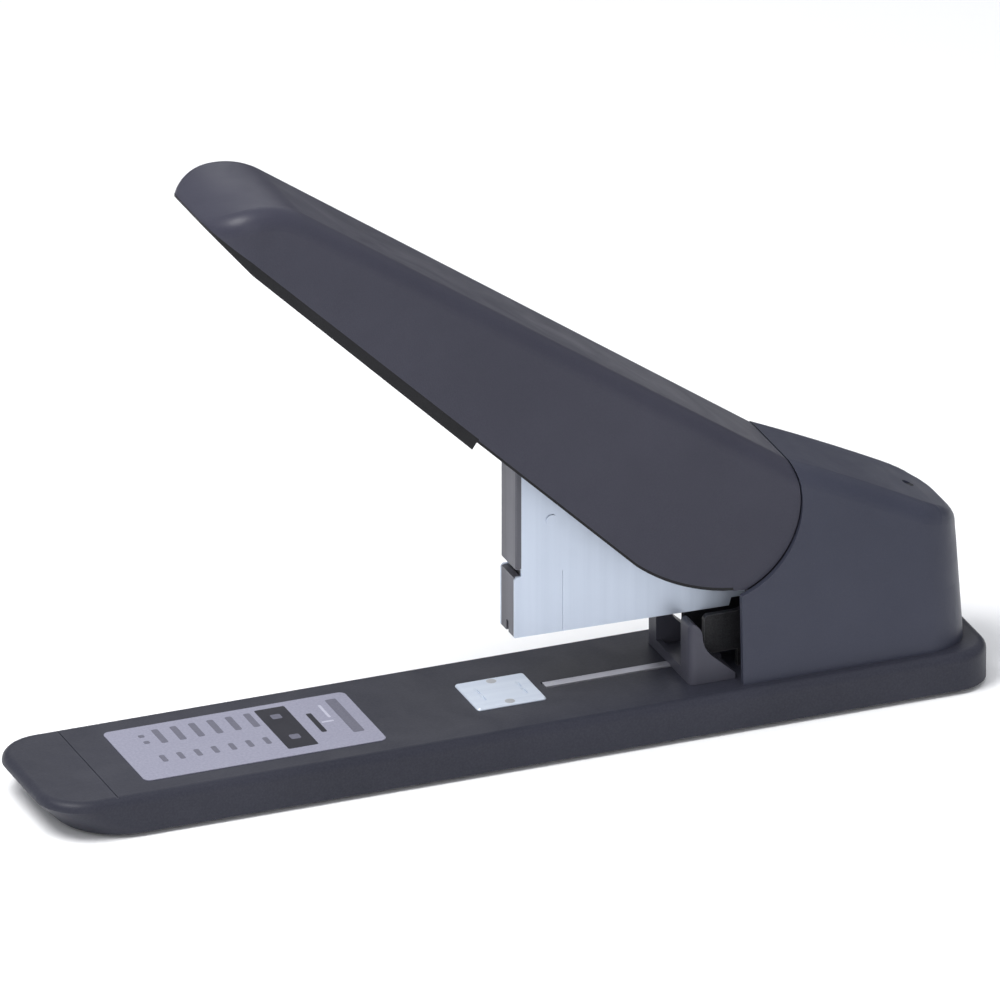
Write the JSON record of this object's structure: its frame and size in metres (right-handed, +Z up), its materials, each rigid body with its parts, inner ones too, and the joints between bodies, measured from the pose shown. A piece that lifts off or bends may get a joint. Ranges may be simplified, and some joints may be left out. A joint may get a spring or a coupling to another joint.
{
  "type": "long reach stapler",
  "caption": "Heavy long reach stapler: long flat base with an anvil and sliding paper stop, a tilting magazine, and a long handle that swings down to drive the staple.",
  "frame": {"origin": "under the middle of the base, on the surface that the feet stand on", "axes": "+X along the base towards the rear housing, -X towards the nose, +Y across, +Z up"},
  "size_m": [0.424, 0.075, 0.27],
  "materials": {
    "base_paint": "satin dark grey powder coat",
    "floor_plastic": "matte black",
    "screw_steel": "zinc plated",
    "foot_rubber": "matte black",
    "label_silver": "satin silver-grey",
    "anvil_steel": "bright brushed",
    "rail_steel": "satin",
    "frame_paint": "satin black",
    "pin_steel": "ground",
    "spring_steel": "oiled",
    "housing_plastic": "satin dark grey",
    "black_screw": "black oxide",
    "handle_plastic": "satin dark grey",
    "liner_plastic": "matte black",
    "magazine_steel": "silver satin lacquer",
    "front_steel": "satin",
    "core_steel": "hardened, bright",
    "staple_wire": "galvanised wire",
    "stop_plastic": "satin black",
    "glide_plastic": "natural acetal"
  },
  "bodies": {
    "base": {"base_tray": "base_paint", "base_bottom_plate": "floor_plastic", "bottom_plate_screws": "screw_steel", "rubber_feet": "foot_rubber", "base_label": "label_silver", "anvil_plate": "anvil_steel", "anvil_screws": "screw_steel", "stop_rail": "rail_steel", "rail_screws": "screw_steel", "frame_plate_near": "frame_paint", "frame_plate_far": "frame_paint", "frame_spacers": "screw_steel", "frame_bolts": "screw_steel", "frame_nuts": "screw_steel", "handle_pivot_pin": "pin_steel", "magazine_pivot_pin": "pin_steel", "pivot_washers": "pin_steel", "pivot_clips": "spring_steel", "head_return_spring": "spring_steel", "rear_housing": "housing_plastic", "housing_screws": "screw_steel", "housing_top_screw": "black_screw"},
    "handle": {"handle_cover": "handle_plastic", "handle_liner": "liner_plastic", "lever_channel": "frame_paint", "press_bar": "pin_steel", "cover_screws": "screw_steel"},
    "magazine": {"magazine_casing": "magazine_steel", "casing_rivets": "magazine_steel", "front_plate": "front_steel", "nose_plate": "front_steel", "magazine_core": "core_steel", "staple_strip": "staple_wire", "pusher_rod": "pin_steel", "pusher_spring": "spring_steel", "spring_seat": "core_steel", "driver_return_spring": "spring_steel"},
    "driver": {"driver_blade": "core_steel", "driver_head": "pin_steel"},
    "pusher": {"staple_pusher": "stop_plastic"},
    "stop": {"paper_stop": "stop_plastic", "stop_glide": "glide_plastic", "stop_screws": "screw_steel"}
  },
  "joints": [
    {"name": "handle_press", "type": "hinge", "parent": "base", "child": "handle", "pos_m": [0.087, 0, 0.097], "axis": [0, -1, 0], "range_deg": [0, 35], "stiffness_Nm_per_rad": 1.5, "springref_deg": -34.38},
    {"name": "magazine_tilt", "type": "hinge", "parent": "base", "child": "magazine", "pos_m": [0.15, 0, 0.05], "axis": [0, -1, 0], "range_deg": [0, 10.8], "deforming": ["head_return_spring"]},
    {"name": "driver_stroke", "type": "slide", "parent": "magazine", "child": "driver", "axis": [0, 0, -1], "range_m": [0, 0.026], "deforming": ["driver_return_spring"]},
    {"name": "pusher_slide", "type": "slide", "parent": "magazine", "child": "pusher", "axis": [1, 0, 0], "range_m": [0, 0.02], "stiffness_N_per_m": 60, "springref_m": -0.03, "deforming": ["pusher_spring"]},
    {"name": "stop_slide", "type": "slide", "parent": "base", "child": "stop", "axis": [-1, 0, 0], "range_m": [0, 0.038]}
  ],
  "couplings": [
    {"joint": "magazine_tilt", "follows": "handle_press", "ratio": 0.3085},
    {"joint": "driver_stroke", "follows": "handle_press", "m_per_rad": 0.04255}
  ]
}
